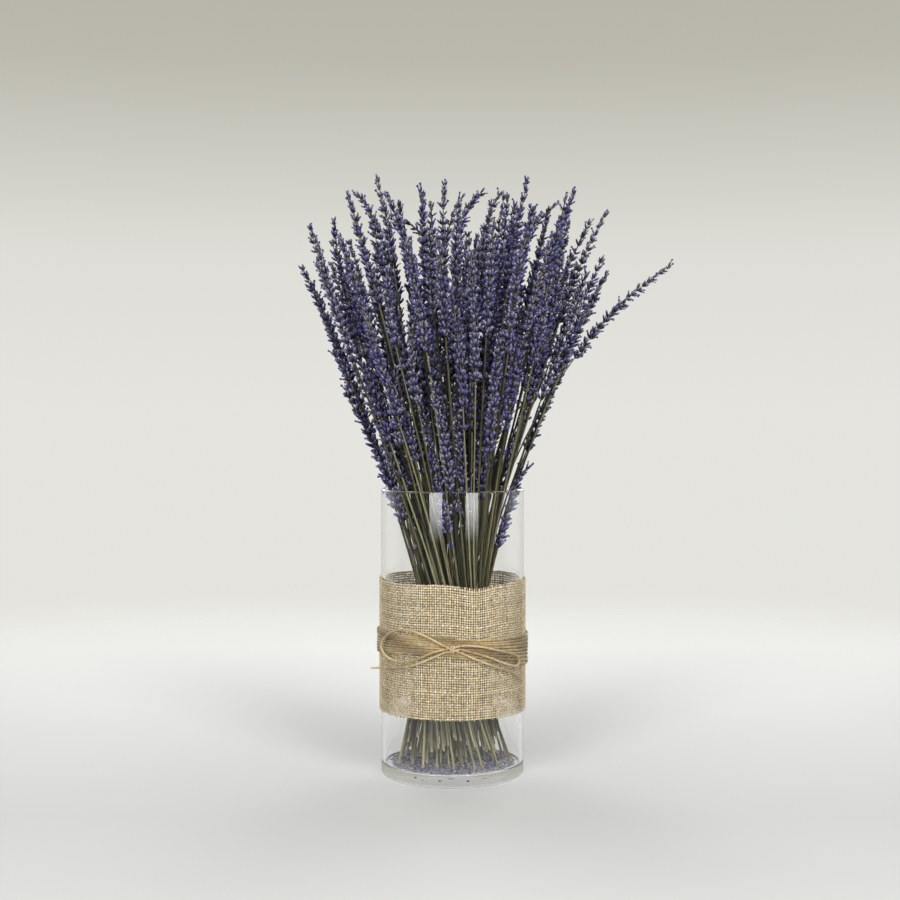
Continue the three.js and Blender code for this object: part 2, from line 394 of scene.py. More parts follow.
def corolla_material():
    """Shrivelled petals, a clearer blue violet than the calyces."""
    m = Material("corolla")
    chance, _, _ = m.tint()
    colour = m.ramp(chance, (0.0, (0.03, 0.026, 0.13)), (0.5, (0.06, 0.055, 0.2)),
                    (0.85, (0.13, 0.125, 0.24)), (1.0, (0.2, 0.18, 0.2)))
    m.colour(m.mix(m.noise(1800, 2), colour, (0.02, 0.017, 0.05)))
    m.set(Roughness=0.8, Specular_IOR_Level=0.2)
    m.bump(m.noise(1500, 3), 0.0001, 0.6)
    return m.material


def bract_material():
    """The dry brown scale leaves under each whorl."""
    m = Material("bract")
    chance, _, _ = m.tint()
    colour = m.ramp(chance, (0, (0.07, 0.05, 0.03)), (1, (0.19, 0.16, 0.1)))
    m.colour(m.mix(m.noise(900, 3), colour, (0.04, 0.032, 0.022)))
    m.set(Roughness=0.85)
    m.bump(m.noise(1400, 3), 0.0001, 0.5)
    return m.material


def litter_material():
    """Florets that have lain on the vase's floor: bleached to grey lilac and straw."""
    m = Material("litter")
    chance, _, _ = m.tint()
    colour = m.ramp(chance, (0.0, (0.033, 0.032, 0.052)), (0.45, (0.085, 0.082, 0.112)),
                    (0.8, (0.2, 0.193, 0.225)), (1.0, (0.19, 0.16, 0.115)))
    m.colour(m.mix(m.noise(1500, 3), colour, (0.04, 0.038, 0.05)))
    m.set(Roughness=0.85)
    m.bump(m.noise(1500, 3), 0.0001, 0.6)
    return m.material


def stem_material():
    """Dry stems: olive green to tan and grey brown, ribbed along their length, paler at the cut."""
    m = Material("stem")
    chance, along, _ = m.tint()
    fibres = m.noise(260, 4, stretch=(9, 9, 0.35))
    tone = m.math("ADD", m.math("MULTIPLY", chance, 0.72), m.math("MULTIPLY", fibres, 0.34))
    colour = m.ramp(tone, (0.12, (0.005, 0.005, 0.003)), (0.36, (0.015, 0.015, 0.007)),
                    (0.58, (0.04, 0.037, 0.016)), (0.82, (0.148, 0.133, 0.068)),
                    (0.97, (0.04, 0.03, 0.021)))
    pale = m.ramp(along, (0.0, (1, 1, 1)), (0.012, (0.25, 0.25, 0.25)), (0.08, (0, 0, 0)))
    m.colour(m.mix(pale, colour, (0.22, 0.195, 0.115)))
    m.rough(fibres, 0.45, 0.8)
    m.set(Specular_IOR_Level=0.2)
    m.bump(fibres, 0.0002, 0.7)
    return m.material


def yarn_material(name, dark, mid, light, scale):
    """Jute: a grain of pale and dark fibres, and yarns that differ from each other. On the burlap the tint
    also carries painted light and shade where the yarns cross.
    """
    m = Material(name)
    chance, _, _ = m.tint()
    fibres = m.noise(scale, 5, roughness=0.7)
    tone = m.math("ADD", m.math("MULTIPLY", chance, 0.45), m.math("MULTIPLY", fibres, 0.62))
    m.colour(m.ramp(tone, (0.2, dark), (0.52, mid), (0.86, light)))
    m.rough(fibres, 0.75, 0.98)
    m.set(Sheen_Weight=0.15, Sheen_Roughness=0.5)
    m.bump(fibres, 0.00025, 0.8)
    return m.material


def rubber_material():
    m = Material("rubber_band")
    m.colour(m.mix(m.noise(300, 3), (0.3, 0.17, 0.08), (0.42, 0.26, 0.13)))
    m.set(Roughness=0.6)
    m.bump(m.noise(900, 2), 0.0001, 0.4)
    return m.material


def floor_material():
    """A pale floor that melts into the studio some way off, so that no horizon shows. It is painted darker
    in front of the vase and paler behind it: painted shade where the lamps light it most and the glass
    reflects it, and painted light where the lamps light it least.
    """
    m = Material("floor")
    place = m.node("TexCoord", {}).outputs["Object"]
    # Painted shade in front and painted light behind, evening out the lamps on the floor and dimming its
    # reflection in the glass.
    behind = m.spread(m.axis(place, "Y"), -0.15, 0.7)
    pale = m.mix(behind, (0.37, 0.366, 0.35), (0.62, 0.615, 0.595))
    m.colour(m.mix(m.noise(6, 2), pale, m.mix(1.0, pale, (1.04, 1.04, 1.04), "MULTIPLY")))
    m.set(Roughness=0.7, Specular_IOR_Level=0.2)
    distance = m.node("VectorMath", {0: place}, operation="LENGTH").outputs["Value"]
    fade = m.spread(distance, 0.3, 1.5, 1, 0, interpolation_type="SMOOTHSTEP")
    m.link(fade, m.shader.inputs["Alpha"])
    return m.material


GLASS = glass_material()
CALYX = calyx_material()
COROLLA = corolla_material()
BRACT = bract_material()
STEM = stem_material()
BURLAP = yarn_material("burlap_yarn", (0.03, 0.02, 0.012), (0.255, 0.19, 0.101),
                       (0.67, 0.565, 0.375), 1500)
JUTE = yarn_material("jute_twine", (0.07, 0.044, 0.018), (0.22, 0.153, 0.067), (0.46, 0.345, 0.17), 1400)
RUBBER = rubber_material()
LITTER = litter_material()
PLANT = [STEM, CALYX, COROLLA, BRACT]


# ------------ twine: the bow's free strands, the winding and the knot

# The bow's strands lie round the vase: angle from the front in degrees, height and distance off the
# winding in millimetres, on the routes of the CAD model.
LEFT_LOOP = [
    (-5.6, 123.4, 0.8), (-9, 125.6, 1), (-14.5, 129, 1.2), (-23.5, 133.6, 1.7), (-31, 135.8, 2.2),
    (-40, 135.3, 2.9), (-49, 131.2, 3.6), (-56, 125.2, 4), (-59, 119.3, 4), (-57, 114.4, 3.8),
    (-52, 110.7, 3.4), (-45, 108.4, 2.8), (-37, 108, 2.3), (-29, 109.9, 1.8), (-21.5, 113.8, 1.4),
    (-14.5, 117.7, 1.1), (-9, 119.8, 0.9), (-5.6, 120.8, 0.8),
]
LEFT_TAIL = [
    (-5.5, 118.1, 0.6), (-10.5, 115.4, 0.6), (-17, 112, 0.7), (-25.5, 107.4, 0.8), (-35, 104, 1.1),
    (-44.5, 102.4, 2), (-55, 100.8, 4), (-62, 99.5, 7.5), (-64.5, 99, 10),
]
RIGHT_LOOP = [
    (5.6, 123.6, 0.8), (9.5, 124, 1), (14, 123.6, 1.1), (23.7, 121.6, 1.3), (30.5, 119.4, 1.5),
    (38, 116.8, 1.8), (45, 114.4, 2.1), (52.4, 110.8, 2.5), (53.7, 109.7, 2.5), (54.5, 108, 2.5),
    (54.5, 106, 2.5), (53.8, 104.3, 2.5), (52.6, 103.1, 2.5), (50.8, 102.7, 2.5), (46.4, 103.9, 2.2),
    (40, 106.3, 1.9), (32, 110.2, 1.6), (23.7, 114.2, 1.3), (15, 117.6, 1.1), (9, 119.8, 0.9),
    (5.6, 120.9, 0.8),
]
RIGHT_TAIL = [
    (5.5, 118.2, 0.6), (9.5, 115.8, 0.6), (15, 112.6, 0.6), (23.5, 108.4, 0.6), (33.5, 103.6, 0.6),
    (41, 100.6, 0.7), (50, 96.2, 0.9), (58, 91.6, 1.4), (61.8, 88.8, 1.9),
]
PLY_TURN = 5.2 * MM    # length in which the twine's plies turn once
TWINE_SIDES = 12
TWINE_STEP = 1.2 * MM
BOW_TONE = 0.76    # the bow is a little paler than the winding


def round_vase(angle, height, radius):
    """A point at an angle from the front, positive to the right."""
    return np.stack([radius * np.sin(angle), -radius * np.cos(angle), height], axis=-1)


def strand_points(points):
    degrees, heights, off = np.array(points, float).T
    return round_vase(np.radians(degrees), heights * MM, WINDING_OUTSIDE + off * MM + TWINE / 2)


def add_twine(surface, path, diameter, rng, hairs_per_metre, tone=0.5):
    """Two plies twisted together, drawn as one lobed tube, with loose fibres standing off it."""
    path = evenly(path, TWINE_STEP)
    turn = TAU * TWINE_STEP / PLY_TURN
    swell = 1 + 0.05 * np.sin(np.arange(len(path)) * 0.37) + 0.03 * rng.standard_normal(len(path))

    def lobes(ring, angle):
        return 0.8 + 0.22 * np.abs(np.cos(angle - ring * turn))

    vertices, quads, triangles = tube(path, diameter / 2 * swell, TWINE_SIDES, lobes)
    shade = tone + 0.25 * np.sin(np.arange(len(path)) * 0.11) + 0.12 * rng.standard_normal(len(path))
    tint = np.zeros((len(vertices), 3))
    tint[:-2, 0] = np.repeat(shade, TWINE_SIDES)
    tint[-2:, 0] = 0.9
    surface.add(vertices, quads, triangles, tint=tint)
    ahead, normals, across = frames(path)
    for _ in range(round(path_length(path) * hairs_per_metre)):
        i = rng.integers(1, len(path) - 1)
        angle = rng.uniform(0, TAU)
        out = normals[i] * math.cos(angle) + across[i] * math.sin(angle)
        start = path[i] + out * diameter * 0.4
        reach = rng.uniform(0.8, 2.2) * MM
        lean = ahead[i] * rng.choice([-1, 1]) * rng.uniform(0.6, 1.6)
        bend = unit(rng.standard_normal(3))
        middle = start + (out * 0.4 + lean * 0.5) * reach
        line = [start, middle, start + (out * 0.7 + lean + bend * 0.3) * reach]
        surface.add(*tube(line, [0.05 * MM, 0.04 * MM, 0.02 * MM], 3), tint=(0.95, 0, 0))
    return path


def bow_strand(node, points, seed):
    """One free strand of the bow, a cord."""
    route = eased(evenly(smooth_path(strand_points(points), 6), TWINE_STEP))
    surface = Surface()
    path = add_twine(surface, route, TWINE, np.random.default_rng(seed), 900, BOW_TONE)
    piece = surface.piece("twine_" + node, [JUTE])
    stand_for(piece, node)


def winding_middle(angle):
    return KNOT[2] + (-4 + 3.6 * np.cos(angle) + np.cos(2 * angle) - 2.8 * np.sin(angle)) * MM


def winding_half(angle):
    return (13.2 - 2.2 * np.cos(angle) - 1.5 * np.cos(2 * angle) + 2.2 * np.sin(angle)) * MM


def twine_winding():
    """One length of twine, wound up the band in nearly even turns that gather behind the knot."""
    rng = np.random.default_rng(11)
    turns = np.linspace(0, TWINE_TURNS, TWINE_TURNS * 120 + 1)
    angle = turns * TAU + math.radians(2)
    level = (2 * turns + 1) / (TWINE_TURNS + 1) - 1
    wander = sum(rng.uniform(0.05, 0.16) * np.sin(angle * rng.uniform(0.4, 2.4) + rng.uniform(0, TAU))
                 for _ in range(6)) * MM
    height = winding_middle(angle) + winding_half(angle) * level * 0.97 + wander
    radius = WINDING_OUTSIDE - TWINE / 2 - 0.2 * MM + 0.12 * MM * np.sin(angle * 0.83)
    surface = Surface()
    add_twine(surface, round_vase(angle, height, radius), TWINE, rng, 420)
    stand_for(surface.piece("twine_turns", [JUTE]), "twine_winding")


def bow_knot():
    """The bow's crossing: one strand wrapped round the others, which run on into the loops and tails."""
    wrap = np.linspace(-0.35, 1.55, 40) * TAU
    lines = [np.stack([KNOT[0] + 2.1 * MM * (wrap / TAU - 0.6), KNOT[1] - 1.6 * MM * np.cos(wrap),
                       KNOT[2] - 0.2 * MM + 2.9 * MM * np.sin(wrap)], axis=1)]
    # Each pair of strand ends meets through the knot, so many millimetres behind its middle.
    joined = [(LEFT_LOOP[0], RIGHT_TAIL[0], -1.0), (LEFT_LOOP[-1], RIGHT_LOOP[0], 0.4),
              (LEFT_TAIL[0], RIGHT_LOOP[-1], 0.9)]
    inset = (0.5 * MM, 0, 0)
    for left, right, behind in joined:
        start, end = strand_points([left, right])
        middle = np.array([KNOT[0], KNOT[1] + behind * MM, (start[2] + end[2]) / 2])
        lines.append(smooth_path([start + inset, middle, end - inset], 10))
    rng = np.random.default_rng(12)
    surface = Surface()
    for line in lines:
        add_twine(surface, line, TWINE * 0.95, rng, 500, BOW_TONE)
    stand_for(surface.piece("twine_bow_knot", [JUTE]), "bow_knot")


# ------------ vase

def arc(centre, radius, start, end, steps):
    angles = np.radians(np.linspace(start, end, steps + 1))
    return [(centre[0] + radius * math.cos(a), centre[1] + radius * math.sin(a)) for a in angles]


def glass_vase():
    inside = VASE_RADIUS - VASE_WALL
    rim = VASE_WALL / 2
    foot = arc((VASE_RADIUS - VASE_FOOT_ROUND, VASE_FOOT_ROUND), VASE_FOOT_ROUND, -90, 0, 8)
    lip = arc((VASE_RADIUS - rim, VASE_HEIGHT - rim), rim, 0, 180, 12)
    well = arc((inside - VASE_WELL_ROUND, VASE_FLOOR + VASE_WELL_ROUND), VASE_WELL_ROUND, 0, -90, 8)
    step = 1 * MM    # a ring close to each bend keeps the stretches between the bends straight
    profile = [(0, 0), (foot[0][0] - step, 0), *foot, (VASE_RADIUS, foot[-1][1] + step),
               (VASE_RADIUS, lip[0][1] - step), *lip, (inside, lip[-1][1] - step),
               (inside, well[0][1] + step), *well, (well[-1][0] - step, VASE_FLOOR), (0, VASE_FLOOR)]
    surface = Surface()
    surface.add(*lathe(profile, 192))
    stand_for(surface.piece("vase_glass", [GLASS]), "glass_vase")


# ------------ burlap, woven yarn by yarn

COLUMNS = 194
ROWS = 55
COLUMN_DRIFT = 0.0032       # how far the yarns wander from straight: radians, and metres
ROW_DRIFT = 0.26 * MM
CRIMP = 0.34 * MM           # how far a yarn swings out and in as it passes over and under
YARN_HALF_WIDTH = 0.66 * MM
YARN_HALF_DEEP = 0.33 * MM
PAINTED_CROSSING_SHADE = 0.4           # how much paler a yarn is painted where it passes over, and darker where it passes under: painted light and shade
BURLAP_MIDDLE = BURLAP_OUTSIDE - 0.8 * MM
BURLAP_WAVE = 0.8 * MM
BURLAP_DIP = {"depth": 4 * MM, "at": math.radians(18), "reach": math.radians(16)}
SHORT_TOP_YARN = (math.radians(6), math.radians(47))    # where the topmost crossways yarn is missing


def burlap_edge(angle):
    wrapped = (angle + math.pi) % TAU - math.pi
    from_dip = (wrapped - BURLAP_DIP["at"]) / BURLAP_DIP["reach"]
    return BURLAP_WAVE * np.sin(3 * wrapped + 1) - BURLAP_DIP["depth"] * np.exp(-from_dip ** 2)


def ripple(rng, places, size):
    """A smooth random wave over places, in radians: five sines of up to 17 waves to a turn."""
    sines = 5
    made = np.zeros_like(places)
    for _ in range(sines):
        wave = np.sin(places * rng.integers(1, 18) + rng.uniform(0, TAU))
        made = made + wave * rng.uniform(0.3, 1)
    return size * made / sines ** 0.5


def flat_yarn(surface, line, width, shade, upright=False, closed=False):
    """A yarn with a section that is flattened against the vase."""
    points = len(line)
    outward = unit(line * (1, 1, 0))
    sideways = np.cross((0, 0, 1), outward) if upright else np.array([0, 0, 1.0])
    corners = [(1, 0), (0, 1), (-1, 0), (0, -1)]
    rings = np.stack([line + sideways * (width * a)[:, None] + outward * (YARN_HALF_DEEP * b)
                      for a, b in corners], axis=1)
    sides = len(corners)
    tint = np.zeros((points * sides, 3))
    tint[:, 0] = np.repeat(shade, sides)
    if closed:
        surface.add(rings.reshape(-1, 3), ring_quads(points, sides, closed=True), tint=tint)
        return
    quads, triangles = tube_faces(points, sides)
    vertices = np.concatenate([rings.reshape(-1, 3), line[:1], line[-1:]])
    surface.add(vertices, quads, triangles, tint=np.concatenate([tint, tint[:1], tint[-1:]]))


def on_burlap(angle, share, drift, out):
    """A point of the cloth, a share of the way up it. drift is upwards and out is away from the vase."""
    top = BURLAP_WIDTH + burlap_edge(angle)
    return round_vase(angle, BURLAP_BOTTOM + share * top + drift, BURLAP_MIDDLE + out)


def yarn_look(rng, count):
    """A yarn's half width and its shade along its length."""
    width = YARN_HALF_WIDTH * (1 + 0.14 * rng.standard_normal() + 0.1 * rng.standard_normal(count))
    return width, 0.52 + 0.06 * rng.standard_normal() + 0.12 * rng.standard_normal(count)


def upright_yarn(surface, line, swing, rng):
    """One upright yarn, frayed a little past the outermost crossways yarns."""
    fray_low = rng.uniform(0.8, 2.3) * MM
    fray_high = rng.uniform(0.5, 1.1) * MM
    stray = rng.uniform(-0.5, 0.5) * MM
    foot = line[0] + np.array([stray, 0, -fray_low])
    tip = line[-1] + np.array([stray * 0.5, 0, fray_high])
    line = np.concatenate([[foot], line, [tip]])
    width, shade = yarn_look(rng, len(line))
    width[0] = width[1] * 0.7
    # Painted light and shade: paler where the yarn passes over, darker where it passes under.
    shade[1:-1] += PAINTED_CROSSING_SHADE * np.sign(swing)
    flat_yarn(surface, line, width, shade, upright=True)


def crossways_yarn(surface, line, swing, kept, rng):
    """One yarn round the vase, or the part of it where kept is true."""
    width, shade = yarn_look(rng, len(line))
    # Painted light and shade: paler where the yarn passes over, darker where it passes under.
    shade += PAINTED_CROSSING_SHADE * np.sign(swing)
    order = np.arange(len(line))
    if not kept.all():
        order = np.roll(order, -int(np.flatnonzero(~kept)[-1]) - 1)
        order = order[kept[order]]
    flat_yarn(surface, line[order], width[order], shade[order], closed=kept.all())


def burlap_wrap():
    rng = np.random.default_rng(21)
    surface = Surface()
    angles = TAU * np.arange(COLUMNS) / COLUMNS
    rows = (np.arange(ROWS) + 0.5) / ROWS
    column_drift = np.array([ripple(rng, rows * 3, COLUMN_DRIFT) for _ in range(COLUMNS)])
    row_drift = np.array([ripple(rng, angles, ROW_DRIFT) for _ in range(ROWS)])
    for i in range(COLUMNS):
        swing = np.where((np.arange(ROWS) + i) % 2, 1.0, -1.0) * CRIMP
        line = on_burlap(angles[i] + column_drift[i], rows, row_drift[:, i], swing)
        upright_yarn(surface, line, swing, rng)
    for j in range(ROWS):
        swing = np.where((j + np.arange(COLUMNS)) % 2, -1.0, 1.0) * CRIMP
        line = on_burlap(angles + column_drift[:, j], rows[j], row_drift[j], swing)
        missing = (angles >= SHORT_TOP_YARN[0]) & (angles <= SHORT_TOP_YARN[1]) & (j == ROWS - 1)
        crossways_yarn(surface, line, swing, ~missing, rng)
    piece = surface.piece("burlap_weave", [BURLAP])
    stand_for(piece, "burlap_wrap")


# ------------ bunch: where the sprigs run

def slope_at(z):
    return SPREAD * (z - TIE_HEIGHT) / WAIST_RADIUS


def spread_at(z):
    return np.hypot(1, slope_at(z))


def turn_at(z):
    return -TWIST * np.arctan(slope_at(z))


def scatter(number, salt):
    """The CAD model's repeatable number between 0 and 1."""
    wave = math.sin(number * 12.9898 + salt * 78.233) * 43758.5453
    return wave - math.floor(wave)


# Sprigs whose tips droop far, and how far along X and Y, as shares of their spikes.
DROOPING = {3: (0.3, 0), 7: (-0.36, -0.1), 11: (0.36, 0), 13: (-0.22, 0), 17: (0.24, 0), 4: (0.16, 0.1),
            29: (-0.12, 0), 43: (0.1, 0), 39: (0.06, 0)}


def cad_plan(number):
    """A sprig that the CAD model has, from its node's box and the same rules."""
    low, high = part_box("sprig_%02d" % number)
    share = math.sqrt((number - 0.5) / SPRIGS)
    shortest, longest = SPIKE_LENGTHS
    stray = number == STRAY["number"]
    return {
        "radius": WAIST_RADIUS * share,
        "angle": FIRST_ANGLE + number * GOLDEN_ANGLE,
        "foot": low[2],
        "tip": high[2],
        "spike": STRAY["spike"] if stray else shortest + (longest - shortest) * scatter(number, 2),
        "lean": STRAY["lean"] if stray else LEAN * share ** 2 * scatter(number, 3),
        "curl": DROOPING.get(number) or small_curl(np.random.default_rng(500 + number)),
    }


def small_curl(rng):
    """How far a tip droops sideways, as a share of its spike, along X and Y: most tips hardly do."""
    turn = rng.uniform(0, TAU)
    size = abs(rng.normal(0, 0.05)) + (rng.uniform(0.12, 0.3) if rng.uniform() < 0.1 else 0)
    return size * math.cos(turn), size * math.sin(turn)


def sprig_centre(plan, z):
    """Where the sprig's line is at the height z: spread and turned about the waist, then leaning out."""
    angle = plan["angle"] + turn_at(z)
    rise = np.maximum(0, z - LEAN_START) / (plan["tip"] - LEAN_START)
    radius = plan["radius"] * spread_at(z) + plan["lean"] * rise ** 2
    return np.stack([radius * np.cos(angle), radius * np.sin(angle), z], axis=-1)


EXTRA_SPRIGS = 130
EXTRA_GROUPS = 8
TALLEST_TIP = 538 * MM
DOME_DROP = 74 * MM
# The tips lie in layers: share of the sprigs so far, and from where to where the layer is under the dome.
LAYERS = [(0.45, 0, 50 * MM), (0.86, 50 * MM, 130 * MM), (1, 130 * MM, 200 * MM)]
ROOM_LOW, ROOM_HIGH = (np.array(corner[:2]) for corner in cad_box)
PAST_ROOM = 6 * MM    # how far past the CAD model's box a tip may reach


def held_in(plan):
    """The plan, stood up straighter where its tip would reach too far sideways."""
    while True:
        tip = sprig_centre(plan, plan["tip"])[:2] + np.array(plan["curl"]) * plan["spike"]
        if (tip > ROOM_LOW - PAST_ROOM).all() and (tip < ROOM_HIGH + PAST_ROOM).all():
            return plan
        plan = {**plan, "radius": plan["radius"] * 0.97, "lean": plan["lean"] * 0.8,
                "curl": tuple(0.8 * share for share in plan["curl"])}


def extra_plans(taken):
    """Sprigs between those of the CAD model: each takes the emptiest of some random places in the waist."""
    rng = np.random.default_rng(31)
    places = [(p["radius"] * math.cos(p["angle"]), p["radius"] * math.sin(p["angle"])) for p in taken]
    plans = []
    for _ in range(EXTRA_SPRIGS):
        tries = rng.uniform(-1, 1, (60, 2)) * WAIST_RADIUS * 0.99
        tries = tries[np.hypot(*tries.T) < WAIST_RADIUS * 0.985]
        room = np.array([min(math.hypot(x - a, y - b) for a, b in places) for x, y in tries])
        x, y = tries[room.argmax()]
        places.append((x, y))
        share = math.hypot(x, y) / WAIST_RADIUS
        lot = rng.uniform()
        drop = rng.uniform(*next(layer[1:] for layer in LAYERS if lot < layer[0]))
        plans.append(held_in({
            "radius": share * WAIST_RADIUS,
            "angle": math.atan2(y, x),
            "foot": BED_HIGH[2] + (16 * rng.uniform() ** 1.2 + 12 * share ** 2) * MM,
            "tip": TALLEST_TIP - DOME_DROP * share ** 3 - drop,
            "spike": rng.uniform(70 * MM, 125 * MM),
            "lean": LEAN * share ** 2 * rng.uniform(0, 1),
            "curl": small_curl(rng),
        }))
    return plans


# ------------ sprig: stem, whorls, florets

STEM_FOOT_RADIUS = 1.04 * MM
STEM_TOP_RADIUS = 0.62 * MM
STEM_SIDES = 8
STEM_RINGS = 34     # along the bare stem; the spike starts at the ring after
SPIKE_RINGS = 24
SHOOT_SHARE = 0.22           # sprigs with a side twig, where their spike starts high enough
SHOOT_SPIKE_FOOT = 0.36
CALYX_SIDES = 6
# Calyx of unit length: radius and place along it.
CALYX_PROFILE = [(0.08, 0.0), (0.15, 0.12), (0.2, 0.42), (0.195, 0.72), (0.155, 0.93), (0.17, 1.0)]


def template(profile, sides, curve, ribs=0.0, hollow=0.0):
    """A closed small form along Z, bent towards -X. Its tint's second number runs along it."""
    radii, places = np.array(profile, float).T
    angles = TAU * np.arange(sides) / sides
    ribbed = 1 + ribs * np.cos(np.arange(sides) * math.pi)
    x = radii[:, None] * np.cos(angles) * ribbed
    y = radii[:, None] * np.sin(angles) * ribbed
    z = np.repeat(places[:, None], sides, axis=1)
    x = x - curve * (z ** 2)
    rings = np.stack([x, y, z], axis=-1).reshape(-1, 3)
    ends = np.array([[-curve * places[0] ** 2, 0, places[0]],
                     [-curve * places[-1] ** 2, 0, places[-1] - hollow]])
    quads, triangles = tube_faces(len(profile), sides)
    # The hollow's bottom gets a smaller number than its place along the form, so the inside of the mouth is
    # painted darker: painted shade in the recess.
    along = np.concatenate([np.repeat(places, sides), [0, 0.55 if hollow else 1]])
    return np.concatenate([rings, ends]), quads, triangles, along


def bract_template():
    """A thin, pointed, closed leaf along Z."""
    outline = np.array([(0.0, 0.0), (0.3, 0.3), (0.24, 0.62), (0.0, 1.0), (-0.24, 0.62), (-0.3, 0.3)])
    front = np.stack([0.06 + 0.12 * outline[:, 1] ** 2 - 0.25 * np.abs(outline[:, 0]), outline[:, 0],
                      outline[:, 1]], axis=1)
    back = front - (0.05, 0, 0)
    middle = np.array([[0.14, 0, 0.5], [0.06, 0, 0.5]])
    count = len(outline)
    k = np.arange(count)
    after = (k + 1) % count
    quads = np.stack([k, k + count, after + count, after], axis=-1)
    last = 2 * count
    triangles = np.concatenate([np.stack([np.full(count, last), k, after], axis=-1),
                                np.stack([np.full(count, last + 1), after + count, k + count], axis=-1)])
    vertices = np.concatenate([front, back, middle])
    return vertices, quads, triangles, vertices[:, 2].clip(0, 1)


CALYX_FORM = template(CALYX_PROFILE, CALYX_SIDES, 0.1, ribs=0.07, hollow=0.22)
BUD_FORM = template([(0.07, 0.0), (0.16, 0.2), (0.19, 0.5), (0.13, 0.85), (0.04, 1.0)], 5, 0.05)
COROLLA_FORM = template([(0.5, 0.0), (0.62, 0.35), (1.0, 0.7), (0.75, 1.0)], 5, 0.15, ribs=0.3, hollow=0.3)
BRACT_FORM = bract_template()


def stamp(surface, form, slot, places, axes, outs, lengths, widths, chances, third):
    """Copies of a form at places, along axes, with their -X side facing away from outs."""
    vertices, quads, triangles, along = form
    count = len(places)
    axes = unit(axes)
    x_axes = unit(outs - axes * np.sum(outs * axes, axis=1, keepdims=True))
    y_axes = np.cross(axes, x_axes)
    placed = (places[:, None]
              + vertices[:, 0, None] * (x_axes * widths[:, None])[:, None]
              + vertices[:, 1, None] * (y_axes * widths[:, None])[:, None]
              + vertices[:, 2, None] * (axes * lengths[:, None])[:, None])
    offsets = (np.arange(count) * len(vertices))[:, None, None]
    tint = np.stack([np.repeat(chances, len(vertices)), np.tile(along, count),
                     np.full(count * len(vertices), third)], axis=1)
    surface.add(placed.reshape(-1, 3), (quads[None] + offsets).reshape(-1, 4),
                (triangles[None] + offsets).reshape(-1, 3), slot=slot, tint=tint)


def sprig_line(plan, rng):
    """The sprig's centreline, with a point for each ring."""
    start = plan["tip"] - plan["spike"]
    z = np.concatenate([np.linspace(plan["foot"], start, STEM_RINGS, endpoint=False),
                        np.linspace(start, plan["tip"], SPIKE_RINGS)])
    line = sprig_centre(plan, z)
    height = (z - plan["foot"]) / (plan["tip"] - plan["foot"])
    bow = rng.uniform(0.2, 1.0) * MM
    phase = rng.uniform(0, TAU, 2)
    free = np.clip(np.abs(z - TIE_HEIGHT) / 0.08, 0, 1)
    line[:, 0] += bow * free * np.sin(height * 9 + phase[0])
    line[:, 1] += bow * free * np.sin(height * 8 + phase[1])
    spike = np.clip((z - start) / plan["spike"], 0, 1)
    droop = np.array([*plan["curl"], 0]) * plan["spike"]
    line += droop * (spike ** 2.2)[:, None]
    line[:, 2] -= np.linalg.norm(droop) * 0.6 * spike ** 3.2
    return line


def add_stem(surface, line, chance, rng):
    along = np.linspace(0, 1, len(line))
    radii = STEM_FOOT_RADIUS + (STEM_TOP_RADIUS - STEM_FOOT_RADIUS) * np.clip(along * 1.25, 0, 1)
    radii = radii * np.where(np.arange(len(line)) >= STEM_RINGS, 0.8, 1.0)
    radii = radii * (1 + 0.06 * rng.standard_normal(len(line))) * rng.uniform(0.82, 1.15)

    def square(ring, angle):
        return 1 + 0.1 * np.cos(4 * angle)

    vertices, quads, triangles = tube(line, radii, STEM_SIDES, square)
    tint = np.zeros((len(vertices), 3))
    tint[:, 0] = chance
    tint[:-2, 1] = np.repeat(along, STEM_SIDES)
    tint[-2, 1], tint[-1, 1] = 0, 1
    surface.add(vertices, quads, triangles, slot=0, tint=tint)


def whorl_places(start, end, rng):
    """Each whorl's distance along the sprig and its share of the spike, or -1 where it is below it."""
    whorls, place = [], start + 2 * MM
    open_top = rng.uniform(0.75, 1.5)
    while place < end - 1 * MM:
        share = (place - start) / (end - start)
        whorls.append((place, share))
        spacing = 7.4 - 2.2 * share + 3.4 * (open_top - 0.75) * share ** 2
        place += spacing * MM * rng.uniform(0.75, 1.25)
    below = start - rng.uniform(9, 22) * MM
    if rng.uniform() < 0.75:
        whorls.append((below, -1))
    if rng.uniform() < 0.3:
        whorls.append((below - rng.uniform(14, 26) * MM, -1))
    return whorls


